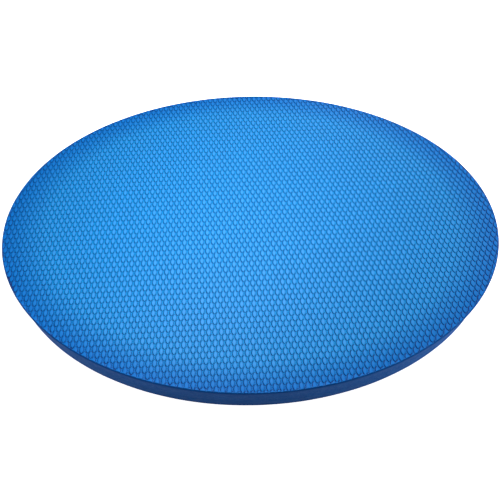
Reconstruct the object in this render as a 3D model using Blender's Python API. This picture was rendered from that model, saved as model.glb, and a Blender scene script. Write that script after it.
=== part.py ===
"""Oval foam balance pad: foam plies between two embossed face sheets, in metres, +Z up.

The origin is the centre of the underside. X runs along the pad's length, Y across it.
The pad gives under a foot: the lower ply lets the layers above it sink, the middle ply lets
them tip to front or back, and the upper ply lets the top face tip to either side. Each layer's
own origin is the centre of its underside, which is where its joint is.
"""

import math

import bmesh
import bpy
from mathutils import Matrix, Vector

# Driving sizes
LENGTH = 0.400
WIDTH = 0.280
THICKNESS = 0.030
FACE_SHEET = 0.003
PLY_NAMES = ("lower_foam_ply", "middle_foam_ply", "upper_foam_ply")

# The face sheets' outer edges are softened by the heated mould, the plies' edges are cut square
FACE_EDGE_RADIUS = 0.0022
FACE_EDGE_STEPS = 4

# Layers that touch on the real pad stand this far apart
LAYER_GAP = 0.0003

OUTLINE_SEGMENTS = 128
SMOOTH_ANGLE = math.radians(30)

# Colour (linear), roughness
EMBOSSED_BLUE = ((0.010, 0.150, 0.420), 0.50)
CUT_FOAM_BLUE = ((0.002, 0.038, 0.155), 0.80)

PLY = (THICKNESS - 2 * FACE_SHEET - (len(PLY_NAMES) + 1) * LAYER_GAP) / len(PLY_NAMES)


def clear_scene():
    for obj in list(bpy.data.objects):
        bpy.data.objects.remove(obj, do_unlink=True)


def foam_material(name, look):
    colour, roughness = look
    material = bpy.data.materials.new(name)
    material.use_nodes = True
    shader = material.node_tree.nodes["Principled BSDF"]
    shader.inputs["Base Color"].default_value = (*colour, 1.0)
    shader.inputs["Roughness"].default_value = roughness
    shader.inputs["Metallic"].default_value = 0.0
    return material


def oval_plate(bm, thickness):
    """An oval plate of the pad's outline, standing on z = 0."""
    outline = Matrix.Diagonal((LENGTH / 2, WIDTH / 2, 1.0, 1.0))
    bmesh.ops.create_circle(bm, cap_ends=True, radius=1.0, segments=OUTLINE_SEGMENTS, matrix=outline)
    raised = bmesh.ops.extrude_face_region(bm, geom=bm.faces[:])["geom"]
    top = [element for element in raised if isinstance(element, bmesh.types.BMVert)]
    bmesh.ops.translate(bm, verts=top, vec=Vector((0.0, 0.0, thickness)))
    bmesh.ops.recalc_face_normals(bm, faces=bm.faces[:])


def rim_edges(bm, height):
    """The edges round the plate's outline at one height."""
    return [edge for edge in bm.edges if all(math.isclose(v.co.z, height, abs_tol=1e-7) for v in edge.verts)]


def add_layer(name, bottom, thickness, look, rounded_at=None):
    """One layer of the pad. rounded_at is the height in the layer of the rim that is rounded."""
    bm = bmesh.new()
    oval_plate(bm, thickness)
    if rounded_at is not None:
        bmesh.ops.bevel(
            bm,
            geom=rim_edges(bm, rounded_at),
            offset=FACE_EDGE_RADIUS,
            segments=FACE_EDGE_STEPS,
            profile=0.5,
            affect="EDGES",
        )
    mesh = bpy.data.meshes.new(name)
    bm.to_mesh(mesh)
    bm.free()
    mesh.shade_smooth()
    mesh.set_sharp_from_angle(angle=SMOOTH_ANGLE)
    mesh.materials.append(foam_material(name, look))
    layer = bpy.data.objects.new(name, mesh)
    layer.location = (0.0, 0.0, bottom)
    bpy.context.scene.collection.objects.link(layer)
    return layer


def build_pad():
    clear_scene()
    add_layer("bottom_face_sheet", 0.0, FACE_SHEET, EMBOSSED_BLUE, rounded_at=0.0)
    height = FACE_SHEET + LAYER_GAP
    for name in PLY_NAMES:
        add_layer(name, height, PLY, CUT_FOAM_BLUE)
        height += PLY + LAYER_GAP
    add_layer("top_face_sheet", height, FACE_SHEET, EMBOSSED_BLUE, rounded_at=FACE_SHEET)


build_pad()
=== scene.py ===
"""Looks of an oval foam balance pad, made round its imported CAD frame, in metres, +Z up.

From the floor up the pad is an embossed face sheet, three foam plies and an embossed face sheet.
Each visual piece stands for one of those CAD nodes. Together they fill the thin gaps that the CAD
keeps between layers, all but a hair, because the real layers are bonded by heat.
"""

import math

import bmesh
import bpy
import numpy as np
from mathutils import Matrix, Vector, noise


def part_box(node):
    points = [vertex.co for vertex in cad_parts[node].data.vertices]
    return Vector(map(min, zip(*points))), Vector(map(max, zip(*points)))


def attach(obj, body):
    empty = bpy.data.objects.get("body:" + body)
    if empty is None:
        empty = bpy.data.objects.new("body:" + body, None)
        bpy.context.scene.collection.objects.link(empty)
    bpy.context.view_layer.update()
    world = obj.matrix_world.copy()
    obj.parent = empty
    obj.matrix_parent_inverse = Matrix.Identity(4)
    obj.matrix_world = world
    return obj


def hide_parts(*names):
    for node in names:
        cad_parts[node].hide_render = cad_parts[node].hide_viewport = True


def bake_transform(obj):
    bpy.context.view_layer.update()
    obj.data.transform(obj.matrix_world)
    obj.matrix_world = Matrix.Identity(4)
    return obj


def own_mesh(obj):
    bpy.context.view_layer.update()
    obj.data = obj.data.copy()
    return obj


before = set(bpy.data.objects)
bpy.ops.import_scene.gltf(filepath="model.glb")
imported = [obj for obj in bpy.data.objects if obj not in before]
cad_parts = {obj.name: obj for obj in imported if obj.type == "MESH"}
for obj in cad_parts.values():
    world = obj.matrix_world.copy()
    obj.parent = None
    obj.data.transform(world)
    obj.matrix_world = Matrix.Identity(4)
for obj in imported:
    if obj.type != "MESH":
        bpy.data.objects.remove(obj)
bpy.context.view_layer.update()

# The pad, from its frame
PLIES = ("lower_foam_ply", "middle_foam_ply", "upper_foam_ply")
LAYERS = ("bottom_face_sheet", *PLIES, "top_face_sheet")
HALF_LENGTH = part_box("top_face_sheet")[1].x
HALF_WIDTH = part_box("top_face_sheet")[1].y
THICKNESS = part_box("top_face_sheet")[1].z

# Embossing: raised ovals in offset rows, the rows turned a little against the pad's length.
# TOUCHING is the half width and half length of ovals that would just touch their four neighbours
OVAL_PITCH = 0.00452
OVAL_ROW = 0.00422
OVAL_TURN = math.radians(1.2)
TOUCHING = (OVAL_PITCH / math.sqrt(8), OVAL_ROW / math.sqrt(2))

# One oval. Its crown and foot are sized as shares of TOUCHING. Depths are below the crown's top:
# CROWN_DROP at the crown's rim, SADDLE_DEPTH between two feet, GROUND_DEPTH elsewhere round them
CROWN_SHARE = (0.91, 0.90)
CROWN_POINT = 1.4
CROWN_SHIFT = (0.00011, -0.00010)
CROWN_DROP = 0.00012
FOOT_SHARE = (1.19, 1.05)
SADDLE_DEPTH = 0.00046
GROUND_DEPTH = 0.00054
CREST_CLEARANCE = 0.00002

# Points of one oval, which oval_faces joins: its ground's corners, its foot and its crown's rim
GROUND_CORNERS = 4
FOOT_POINTS = 8
CROWN_POINTS = 12

# The embossed slab reaches this far past the outline, and its points are merged at this many digits
SLAB_MARGIN = 1.6 * OVAL_ROW
MERGE_DIGITS = 7

# Outer edge of a face sheet. The relief rises over SMOOTH_BAND, and the face falls by FACE_FALL
TOP_EDGE_RADIUS = 0.0014
BOTTOM_EDGE_RADIUS = 0.0008
EDGE_STEPS = 6
SMOOTH_BAND = (0.0015, 0.0024)
FACE_FALL = 0.00003
FACE_FALL_REACH = 0.012

# Cut side wall: it leans in towards the top, and the blade leaves it slightly hollow and uneven.
# WAVER_LUMPS are about how many uneven spots lie along half the length, half the width, the height
OUTLINE_SEGMENTS = 288
WALL_LEAN = 0.0007
WALL_HOLLOW = 0.0002
WALL_WAVER = 0.00012
WAVER_LUMPS = (9.0, 6.0, 1.2)
WALL_STEPS = 6
SEAM_EASE = 0.00006
SEAM_GAP = 0.00002
CORNER_ANGLE = math.radians(28)

# Noise stays within NOISE_RANGE nearly everywhere, and the finer grain within GRAIN_RANGE
NOISE_RANGE = (0.3, 0.7)
GRAIN_RANGE = (0.2, 0.8)
GRAIN_SIZE = 0.0004
GRAIN_DETAIL = 4.0
GRAIN_DEPTH = 0.00003

# Embossed skin, in linear colours: a painted shade on the ovals' sloping sides, then the mottle's darker
# and lighter blue
SLOPE_SHADE_AND_SKIN_BLUES = ((0.001, 0.023, 0.118, 1.0), (0.001, 0.166, 0.43, 1.0), (0.001, 0.182, 0.46, 1.0))
SKIN_ROUGHNESS = (0.42, 0.55)
SKIN_SPECULAR = 0.09
MOTTLE_SIZE = 0.004
MOTTLE_DETAIL = 3.0
# Painted highlight on the ovals' crowns, fading out between the depths of CROWN_HIGHLIGHT_FADE below the
# crests
CROWN_HIGHLIGHT_BLUE = (0.027, 0.188, 0.475, 1.0)
CROWN_HIGHLIGHT_FADE = (0.00007, 0.00017)
# Painted shade on the ovals' sloping sides, growing over SLOPE_SHADE_FADE of steepness
SLOPE_SHADE_FADE = (0.03, 0.14)
# Painted shade towards the pad's outline: the skin multiplied by RIM_SHADE_TINT within RIM_SHADE_FADE of
# it
RIM_SHADE_TINT = (0.10, 0.57, 0.82, 1.0)
RIM_SHADE_FADE = (0.001, 0.024)

# Softened edge: the skin, in a blue darkened as painted shade, gives way to cut foam over EDGE_FADE below
# the crests
SHADED_EDGE_BLUE = (0.001, 0.075, 0.28, 1.0)
EDGE_FADE = (0.00002, 0.00016)
EDGE_WAVER = 0.00002

# Cut foam, its blues darkened as painted shade of the side wall: its pits with more painted shade, its
# body and its paler streaks.
# The painted shade in the pits reaches PIT_SHADE_REACH from a cell's middle, as a share of CELL_SIZE
SHADED_FOAM_BLUES = ((0.001, 0.022, 0.095, 1.0), (0.001, 0.038, 0.155, 1.0), (0.001, 0.043, 0.168, 1.0))
FOAM_ROUGHNESS = (0.7, 0.85)
FOAM_SPECULAR = 0.03
CELL_SIZE = 0.0005
CELL_DEPTH = 0.00008
PIT_SHADE_REACH = 0.35
DRAG_SIZE = 0.003
DRAG_STRETCH = (1.0, 1.0, 0.12)

# Floor and sky
WHITE = (1.0, 1.0, 1.0, 1.0)
FLOOR_REACH = 6.0
FLOOR_CORNERS = ((-1, -1), (1, -1), (1, 1), (-1, 1))
FLOOR_COLOUR = (0.8, 0.8, 0.8, 1.0)
FLOOR_ROUGHNESS = 0.9
FLOOR_GLOW = 1.0
SKY_STRENGTH = 0.08

# Lamps: name, place, aim, width, watts
LAMPS = (
    ("key_front", (-0.050, -0.015, 0.24), (-0.050, -0.015, 0.0), 0.14, 0.58),
    ("key_back", (0.08, 0.03, 0.24), (0.08, 0.03, 0.0), 0.14, 0.22),
    ("key_left", (-0.16, -0.04, 0.24), (-0.16, -0.04, 0.0), 0.12, 0.12),
    ("back_high", (0.0, 0.22, 0.42), (0.0, 0.0, 0.0), 0.25, 1.1),
    ("back_low", (0.30, 0.82, 0.22), (0.0, 0.0, 0.0), 0.25, 4.4),
    ("right_low", (0.77, 0.28, 0.41), (0.0, 0.0, 0.0), 0.30, 4.3),
    ("front_right_low", (0.41, -0.71, 0.41), (0.0, 0.0, 0.0), 0.30, 0.2),
    ("right_wall", (0.60, -0.16, 0.05), (0.12, -0.12, 0.015), 0.06, 3.0),
    ("left_wall", (-0.60, -0.16, 0.05), (-0.12, -0.12, 0.015), 0.06, 1.4),
)

# Camera: angles and distance from a point of the standing face
VIEW_AZIMUTH = math.radians(-2.24)
VIEW_ELEVATION = math.radians(60.63)
VIEW_ROLL = math.radians(0.55)
VIEW_AIM = (-0.0022, -0.0263)
VIEW_DISTANCE = 0.424
SENSOR_MM = 36.0
LENS_MM = 38.88
NEAR_CLIP = 0.01


def mesh_object(name, points, faces):
    mesh = bpy.data.meshes.new(name)
    mesh.from_pydata(points, [], faces)
    mesh.validate()
    obj = bpy.data.objects.new(name, mesh)
    bpy.context.scene.collection.objects.link(obj)
    return obj


def wall_inset(angle, height):
    """How far the cut wall lies inside the pad's oval outline."""
    level = height / THICKNESS
    hollow = WALL_HOLLOW * math.sin(math.pi * level)
    along, across, up = WAVER_LUMPS
    place = Vector((along * math.cos(angle), across * math.sin(angle), up * level))
    waver = WALL_WAVER * (0.5 + 0.5 * noise.noise(place))
    return WALL_LEAN * level + hollow + waver


def oval_solid(name, profile):
    """A closed solid on the pad's outline. profile is a list of (inset, height), upwards."""
    n = OUTLINE_SEGMENTS
    points, faces = [], []
    for inset, height in profile:
        for k in range(n):
            angle = 2 * math.pi * k / n
            drawn_in = inset + wall_inset(angle, height)
            x = (HALF_LENGTH - drawn_in) * math.cos(angle)
            y = (HALF_WIDTH - drawn_in) * math.sin(angle)
            points.append((x, y, height))
    for ring in range(len(profile) - 1):
        for k in range(n):
            a, b = ring * n + k, ring * n + (k + 1) % n
            faces.append((a, b, b + n, a + n))
    last = (len(profile) - 1) * n
    faces.append(tuple(range(n - 1, -1, -1)))
    faces.append(tuple(range(last, last + n)))
    return mesh_object(name, points, faces)


# ---------------------------------------------------------------- embossed face sheets


def oval_ring(count, share, height, point=1.0):
    """count points round an oval, counter-clockwise from +X, as (x, y, height).

    point is 1 for an ellipse, and above 1 it narrows the oval between its axes and so points its ends.
    """
    wide, tall = TOUCHING[0] * share[0], TOUCHING[1] * share[1]
    angles = np.arange(count) * 2 * np.pi / count
    across = wide * np.sign(np.cos(angles)) * np.abs(np.cos(angles)) ** point
    along = tall * np.sign(np.sin(angles)) * np.abs(np.sin(angles)) ** point
    return np.column_stack((across, along, np.full(count, height)))


def oval_points():
    """One oval and its share of the ground: the ground's corners, the foot, the crown's rim and top."""
    corners = [(OVAL_PITCH / 2, 0), (0, OVAL_ROW), (-OVAL_PITCH / 2, 0), (0, -OVAL_ROW)]
    corners = [(x, y, -GROUND_DEPTH) for x, y in corners]
    foot = oval_ring(FOOT_POINTS, FOOT_SHARE, -GROUND_DEPTH)
    foot[1::2] = oval_ring(FOOT_POINTS, (1.0, 1.0), -SADDLE_DEPTH)[1::2]
    rim = oval_ring(CROWN_POINTS, CROWN_SHARE, -CROWN_DROP, CROWN_POINT)
    crown = np.vstack((rim, (0.0, 0.0, 0.0)))
    crown[:, :2] += CROWN_SHIFT
    points = np.vstack((corners, foot, crown))
    points[:, 2] -= CREST_CLEARANCE
    return points


def oval_faces():
    """Faces between the points of oval_points: a quarter of the foot and crown for each corner."""
    foot = GROUND_CORNERS
    rim = foot + FOOT_POINTS
    top = rim + CROWN_POINTS
    faces = []
    for corner in range(GROUND_CORNERS):
        before, f0, f1, f2 = (foot + (2 * corner + step) % FOOT_POINTS for step in range(-1, 3))
        r0, r1, r2, r3 = (rim + (3 * corner + step) % CROWN_POINTS for step in range(4))
        faces += [(corner, f0, before), (corner, f1, f0)]
        faces += [(f0, f1, r1), (f0, r1, r0), (f1, r2, r1), (f1, f2, r2), (f2, r3, r2)]
        faces += [(r0, r1, top), (r1, r2, top), (r2, r3, top)]
    return faces


def turn(x, y):
    """The embossing's own directions turned into the pad's."""
    c, s = math.cos(OVAL_TURN), math.sin(OVAL_TURN)
    return c * x - s * y, s * x + c * y


def oval_places():
    """The middles of the ovals that cover the pad's face, as (x, y) in the embossing's directions."""
    reach = HALF_LENGTH + 2 * OVAL_PITCH
    rows = int(reach / OVAL_ROW) + 1
    columns = int(reach / OVAL_PITCH) + 1
    places = []
    for row in range(-rows, rows + 1):
        for column in range(-columns, columns + 1):
            places.append(((column + 0.5 * (row % 2)) * OVAL_PITCH, row * OVAL_ROW))
    places = np.array(places)
    x, y = turn(places[:, 0], places[:, 1])
    share = np.hypot(x / (HALF_LENGTH + SLAB_MARGIN), y / (HALF_WIDTH + SLAB_MARGIN))
    return places[share < 1.0]


def edge_distance(x, y):
    """How far a point of the face lies inside the pad's outline, and negative outside it."""
    share = np.hypot(x / HALF_LENGTH, y / HALF_WIDTH)
    slope = np.hypot(x / HALF_LENGTH**2, y / HALF_WIDTH**2)
    never_zero = np.maximum(slope, 1e-3)
    return share * (1.0 - share) / never_zero


def face_fall(x, y):
    """How far the face lies below its middle, near the outline."""
    return FACE_FALL * np.exp(-np.maximum(edge_distance(x, y), 0.0) / FACE_FALL_REACH)


def relief_share(x, y):
    """The share of the full relief: it runs out where the edge was softened by heat."""
    start, end = SMOOTH_BAND
    return np.clip((edge_distance(x, y) - start) / (end - start), 0.0, 1.0)


def embossed_surface(name, outer, outward):
    """The embossed surface, wider than the pad, with its crests at the height outer.

    outward is 1 where it faces up and -1 where it faces down.
    """
    one = oval_points()
    one_faces = np.array(oval_faces())
    places = oval_places()
    points = np.tile(one, (len(places), 1, 1))
    points[:, :, :2] += places[:, None, :]
    points = points.reshape(-1, 3)
    x, y = turn(points[:, 0], points[:, 1])
    relief = points[:, 2] * relief_share(x, y) - face_fall(x, y)
    points = np.column_stack((x, y, outer + outward * relief))

    # neighbouring ovals share the corners of their ground and the points between their feet
    rounded = np.round(points, MERGE_DIGITS)
    _, first, merged = np.unique(rounded, axis=0, return_index=True, return_inverse=True)
    starts = np.arange(len(places)) * len(one)
    faces = merged.ravel()[starts[:, None, None] + one_faces].reshape(-1, 3)
    return mesh_object(name, points[first].tolist(), faces.tolist())


def close_slab(surface, back):
    """Gives a surface upright walls to the height back, and a flat face there."""
    bm = bmesh.new()
    bm.from_mesh(surface.data)
    rim = [edge for edge in bm.edges if edge.is_boundary]
    walls = bmesh.ops.extrude_edge_only(bm, edges=rim)["geom"]
    for element in walls:
        if isinstance(element, bmesh.types.BMVert):
            element.co.z = back
    end = [element for element in walls if isinstance(element, bmesh.types.BMEdge) and element.is_boundary]
    bmesh.ops.contextual_create(bm, geom=end)
    bmesh.ops.recalc_face_normals(bm, faces=bm.faces[:])
    bm.to_mesh(surface.data)
    bm.free()


def keep_common(obj, cutter):
    """obj becomes what it shares with cutter, which is removed."""
    modifier = obj.modifiers.new("trim", "BOOLEAN")
    modifier.operation = "INTERSECT"
    modifier.solver = "MANIFOLD"
    modifier.object = cutter
    graph = bpy.context.evaluated_depsgraph_get()
    trimmed = bpy.data.meshes.new_from_object(obj.evaluated_get(graph))
    obj.modifiers.clear()
    obj.data = trimmed
    bpy.data.objects.remove(cutter, do_unlink=True)


def sharpen_corners(mesh):
    """Smooth shading all over, sharp at corners and where the embossing meets the outer edge."""
    bm = bmesh.new()
    bm.from_mesh(mesh)
    for face in bm.faces:
        face.smooth = True
    for edge in bm.edges:
        one, other = edge.link_faces
        same_material = one.material_index == other.material_index
        edge.smooth = same_material and edge.calc_face_angle() < CORNER_ANGLE
    bm.to_mesh(mesh)
    bm.free()


def sheet_profile(inner, outer, radius, outward):
    """The side of a face sheet as (inset, height), upwards, rounded towards its outer face."""
    profile = [(0.0, inner), (0.0, (inner + outer - outward * radius) / 2)]
    for step in range(EDGE_STEPS + 1):
        lean = math.pi / 2 * step / EDGE_STEPS
        inset = radius * (1 - math.cos(lean))
        profile.append((inset, outer - outward * radius * (1 - math.sin(lean))))
    return sorted(profile, key=lambda point: point[1])


def face_sheet(name, inner, outer, radius):
    """A face sheet from its inner side to the crests of its embossing, its edge softened."""
    outward = math.copysign(1.0, outer - inner)
    sheet = embossed_surface(name, outer, outward)
    close_slab(sheet, inner - outward * THICKNESS)
    blank = oval_solid(name + "_blank", sheet_profile(inner, outer, radius, outward))
    skin = embossed_skin(name + "_skin", outer)
    edge = softened_edge(name + "_edge", outer)
    for piece in (sheet, blank):
        piece.data.materials.append(skin)
        piece.data.materials.append(edge)
    for face in blank.data.polygons:
        face.material_index = 1
    keep_common(sheet, blank)
    sharpen_corners(sheet.data)
    return sheet


# ---------------------------------------------------------------- foam plies


def foam_ply(name, low, high, foam):
    """A cut foam ply between two heights, its corners eased by the cut."""
    profile = [(SEAM_EASE, low)]
    for step in range(WALL_STEPS + 1):
        share = step / WALL_STEPS
        profile.append((0.0, low + SEAM_EASE + share * (high - low - 2 * SEAM_EASE)))
    profile.append((SEAM_EASE, high))
    ply = oval_solid(name, profile)
    ply.data.materials.append(foam)
    ply.data.shade_smooth()
    ply.data.set_sharp_from_angle(angle=CORNER_ANGLE)
    return ply


# ---------------------------------------------------------------- materials


class Nodes:
    """A material's nodes, added and joined in one call each."""

    def __init__(self, name):
        self.material = bpy.data.materials.new(name)
        self.material.use_nodes = True
        self.tree = self.material.node_tree
        self.shader = self.tree.nodes["Principled BSDF"]
        self.place = self.add("ShaderNodeTexCoord").outputs["Object"]

    def add(self, kind, **settings):
        node = self.tree.nodes.new(kind)
        for name, value in settings.items():
            setattr(node, name, value)
        return node

    def put(self, value, socket):
        """Joins an output to a socket, or sets the socket to a number or colour."""
        if isinstance(value, bpy.types.NodeSocket):
            self.tree.links.new(value, socket)
        else:
            socket.default_value = value

    def noise(self, size, detail=2.0, stretch=(1.0, 1.0, 1.0)):
        """Noise from 0 to 1 whose lumps are about size metres, and longer where stretch is under 1."""
        mapping = self.add("ShaderNodeMapping")
        mapping.inputs["Scale"].default_value = stretch
        self.put(self.place, mapping.inputs["Vector"])
        texture = self.add("ShaderNodeTexNoise")
        self.put(mapping.outputs["Vector"], texture.inputs["Vector"])
        texture.inputs["Scale"].default_value = 1.0 / size
        texture.inputs["Detail"].default_value = detail
        return texture.outputs["Fac"]

    def cells(self, size):
        """Distance from the nearest cell's middle, for foam cells about size metres across."""
        texture = self.add("ShaderNodeTexVoronoi")
        self.put(self.place, texture.inputs["Vector"])
        texture.inputs["Scale"].default_value = 1.0 / size
        return texture.outputs["Distance"]

    def spread(self, value, low, high, to_low, to_high):
        """value's range low to high mapped to to_low to to_high, and held there outside it."""
        node = self.add("ShaderNodeMapRange")
        for socket, number in zip(node.inputs[:5], (value, low, high, to_low, to_high)):
            self.put(number, socket)
        return node.outputs["Result"]

    def math(self, operation, *values):
        node = self.add("ShaderNodeMath", operation=operation)
        for socket, value in zip(node.inputs, values):
            self.put(value, socket)
        return node.outputs["Value"]

    def depth_from(self, crest_height):
        """How far a point of the resting pad lies inwards of the height of a face's crests."""
        split = self.add("ShaderNodeSeparateXYZ")
        self.put(self.place, split.inputs["Vector"])
        return self.math("ABSOLUTE", self.math("SUBTRACT", split.outputs["Z"], crest_height))

    def steepness(self):
        """0 where the surface lies level and 1 where it stands upright."""
        split = self.add("ShaderNodeSeparateXYZ")
        self.put(self.add("ShaderNodeNewGeometry").outputs["True Normal"], split.inputs["Vector"])
        return self.math("SUBTRACT", 1.0, self.math("ABSOLUTE", split.outputs["Z"]))

    def edge_distance(self):
        """How far a point lies inside the pad's outline, measured across its width."""
        narrowed = self.add("ShaderNodeVectorMath", operation="DIVIDE")
        self.put(self.place, narrowed.inputs[0])
        narrowed.inputs[1].default_value = (HALF_LENGTH / HALF_WIDTH, 1.0, 1.0)
        flat = self.add("ShaderNodeVectorMath", operation="MULTIPLY")
        self.put(narrowed.outputs["Vector"], flat.inputs[0])
        flat.inputs[1].default_value = (1.0, 1.0, 0.0)
        length = self.add("ShaderNodeVectorMath", operation="LENGTH")
        self.put(flat.outputs["Vector"], length.inputs[0])
        return self.math("SUBTRACT", HALF_WIDTH, length.outputs["Value"])

    def mix(self, share, first, second, blend="MIX"):
        node = self.add("ShaderNodeMix", data_type="RGBA", blend_type=blend)
        for name, value in (("Factor_Float", share), ("A_Color", first), ("B_Color", second)):
            socket = next(s for s in node.inputs if s.identifier == name)
            self.put(value, socket)
        return next(s for s in node.outputs if s.identifier == "Result_Color")

    def finish(self, colour, roughness, specular, heights, depth):
        """Joins everything to the shader, with a bump as deep as depth, and returns the material."""
        bump = self.add("ShaderNodeBump")
        bump.inputs["Distance"].default_value = depth
        self.put(heights, bump.inputs["Height"])
        self.put(colour, self.shader.inputs["Base Color"])
        self.put(roughness, self.shader.inputs["Roughness"])
        self.put(bump.outputs["Normal"], self.shader.inputs["Normal"])
        self.shader.inputs["Specular IOR Level"].default_value = specular
        return self.material


def embossed_skin(name, crest_height):
    """Heat-closed foam skin: faintly mottled and fine-grained, with a painted highlight on the ovals'
    crowns and painted shade on their sloping sides and towards the rim.
    """
    slope_shade, shade, light = SLOPE_SHADE_AND_SKIN_BLUES
    nodes = Nodes(name)
    mottle = nodes.spread(nodes.noise(MOTTLE_SIZE, MOTTLE_DETAIL), *NOISE_RANGE, 0.0, 1.0)
    colour = nodes.mix(mottle, shade, light)
    # painted highlight on the ovals' crowns
    crown = nodes.spread(nodes.depth_from(crest_height), *CROWN_HIGHLIGHT_FADE, 1.0, 0.0)
    colour = nodes.mix(crown, colour, CROWN_HIGHLIGHT_BLUE)
    # painted shade on the ovals' sloping sides
    colour = nodes.mix(nodes.spread(nodes.steepness(), *SLOPE_SHADE_FADE, 0.0, 1.0), colour, slope_shade)
    # painted shade towards the pad's outline
    rim = nodes.spread(nodes.edge_distance(), *RIM_SHADE_FADE, 1.0, 0.0)
    colour = nodes.mix(rim, colour, RIM_SHADE_TINT, "MULTIPLY")
    grain = nodes.noise(GRAIN_SIZE, GRAIN_DETAIL)
    roughness = nodes.spread(grain, *GRAIN_RANGE, *SKIN_ROUGHNESS)
    return nodes.finish(colour, roughness, SKIN_SPECULAR, grain, GRAIN_DEPTH)


def softened_edge(name, crest_height):
    """The rounded edge of a face sheet, where the mould's skin runs out over the cut foam; the skin's blue
    there is darkened as painted shade.
    """
    nodes = Nodes(name)
    below = nodes.depth_from(crest_height)
    waver = nodes.spread(nodes.noise(DRAG_SIZE), *NOISE_RANGE, -EDGE_WAVER, EDGE_WAVER)
    bare = nodes.spread(nodes.math("ADD", below, waver), *EDGE_FADE, 0.0, 1.0)
    _, body, _ = SHADED_FOAM_BLUES
    # painted shade: the edge's skin darker than the embossed face, giving way to the cut foam's blue
    colour = nodes.mix(bare, SHADED_EDGE_BLUE, body)
    grain = nodes.noise(GRAIN_SIZE, GRAIN_DETAIL)
    roughness = nodes.spread(grain, *GRAIN_RANGE, *FOAM_ROUGHNESS)
    return nodes.finish(colour, roughness, FOAM_SPECULAR, grain, GRAIN_DEPTH)


def cut_foam(name):
    """Sliced closed-cell foam: fine open cells, faint upright drag marks from the blade, its blue darkened
    as painted shade of the side wall, most in the cells' pits.
    """
    pit_shade, body, pale = SHADED_FOAM_BLUES
    nodes = Nodes(name)
    drag = nodes.noise(DRAG_SIZE, stretch=DRAG_STRETCH)
    colour = nodes.mix(nodes.spread(drag, *NOISE_RANGE, 0.0, 1.0), body, pale)
    cells = nodes.cells(CELL_SIZE)
    # painted shade in the cells' pits
    colour = nodes.mix(nodes.spread(cells, 0.0, PIT_SHADE_REACH, 1.0, 0.0), colour, pit_shade)
    roughness = nodes.spread(nodes.noise(DRAG_SIZE), *NOISE_RANGE, *FOAM_ROUGHNESS)
    return nodes.finish(colour, roughness, FOAM_SPECULAR, cells, CELL_DEPTH)


# ---------------------------------------------------------------- the pad


def seam_heights():
    """Where each layer meets the next: the middle of the gap that the CAD keeps there."""
    return [(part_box(below)[1].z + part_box(above)[0].z) / 2 for below, above in zip(LAYERS, LAYERS[1:])]


def build_pad():
    seams = seam_heights()
    top = face_sheet("top_sheet_embossed", seams[-1], THICKNESS, TOP_EDGE_RADIUS)
    bottom = face_sheet("bottom_sheet_embossed", seams[0], 0.0, BOTTOM_EDGE_RADIUS)
    foam = cut_foam("cut_foam")
    lower, middle, upper = (
        foam_ply(node.replace("foam_ply", "ply_cut"), low, high - SEAM_GAP, foam)
        for node, low, high in zip(PLIES, seams, seams[1:])
    )
    for piece, node in zip((bottom, lower, middle, upper, top), LAYERS):
        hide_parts(node)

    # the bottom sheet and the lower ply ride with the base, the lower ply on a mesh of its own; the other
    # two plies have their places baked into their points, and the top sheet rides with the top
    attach(bottom, "base")
    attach(lower, "base")
    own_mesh(lower)
    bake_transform(middle)
    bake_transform(upper)
    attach(top, "top")


# ---------------------------------------------------------------- floor, light and camera


def build_floor():
    corners = [(x * FLOOR_REACH, y * FLOOR_REACH, 0.0) for x, y in FLOOR_CORNERS]
    floor = mesh_object("floor", corners, [(0, 1, 2, 3)])
    nodes = Nodes("pale_floor")
    nodes.shader.inputs["Base Color"].default_value = FLOOR_COLOUR
    nodes.shader.inputs["Roughness"].default_value = FLOOR_ROUGHNESS
    nodes.shader.inputs["Specular IOR Level"].default_value = 0.0
    nodes.shader.inputs["Emission Color"].default_value = WHITE
    nodes.shader.inputs["Emission Strength"].default_value = FLOOR_GLOW
    floor.data.materials.append(nodes.material)


def add_lamp(name, place, aim, size, power):
    """A round soft box at place, turned towards aim."""
    data = bpy.data.lights.new(name, "AREA")
    data.shape = "DISK"
    data.size = size
    data.energy = power
    lamp = bpy.data.objects.new(name, data)
    lamp.location = place
    lamp.rotation_mode = "QUATERNION"
    lamp.rotation_quaternion = (Vector(aim) - Vector(place)).to_track_quat("-Z", "Y")
    lamp.visible_camera = False
    bpy.context.scene.collection.objects.link(lamp)


def build_light():
    """A sky that is white where it is seen and dim where it lights the pad, and the lamps."""
    world = bpy.data.worlds.new("studio")
    world.use_nodes = True
    tree = world.node_tree
    seen = tree.nodes.new("ShaderNodeLightPath").outputs["Is Camera Ray"]
    strength = tree.nodes.new("ShaderNodeMapRange")
    strength.inputs["To Min"].default_value = SKY_STRENGTH
    tree.links.new(seen, strength.inputs["Value"])
    sky = tree.nodes["Background"]
    sky.inputs["Color"].default_value = WHITE
    tree.links.new(strength.outputs["Result"], sky.inputs["Strength"])
    bpy.context.scene.world = world
    for lamp in LAMPS:
        add_lamp(*lamp)


def build_camera():
    """Looks at a point of the standing face from in front and above."""
    data = bpy.data.cameras.new("camera")
    data.sensor_width = SENSOR_MM
    data.lens = LENS_MM
    data.clip_start = NEAR_CLIP
    camera = bpy.data.objects.new("camera", data)
    back = Vector((
        math.sin(VIEW_AZIMUTH) * math.cos(VIEW_ELEVATION),
        -math.cos(VIEW_AZIMUTH) * math.cos(VIEW_ELEVATION),
        math.sin(VIEW_ELEVATION),
    ))
    right = Vector((math.cos(VIEW_AZIMUTH), math.sin(VIEW_AZIMUTH), 0.0))
    up = back.cross(right)
    across = right * math.cos(VIEW_ROLL) + up * math.sin(VIEW_ROLL)
    above = up * math.cos(VIEW_ROLL) - right * math.sin(VIEW_ROLL)
    turned = Matrix((across, above, back)).transposed().to_4x4()
    aim = Vector((*VIEW_AIM, THICKNESS))
    camera.matrix_world = Matrix.Translation(aim + back * VIEW_DISTANCE) @ turned
    bpy.context.scene.collection.objects.link(camera)
    bpy.context.scene.camera = camera
    bpy.context.scene.view_settings.view_transform = "Standard"


build_pad()
build_floor()
build_light()
build_camera()
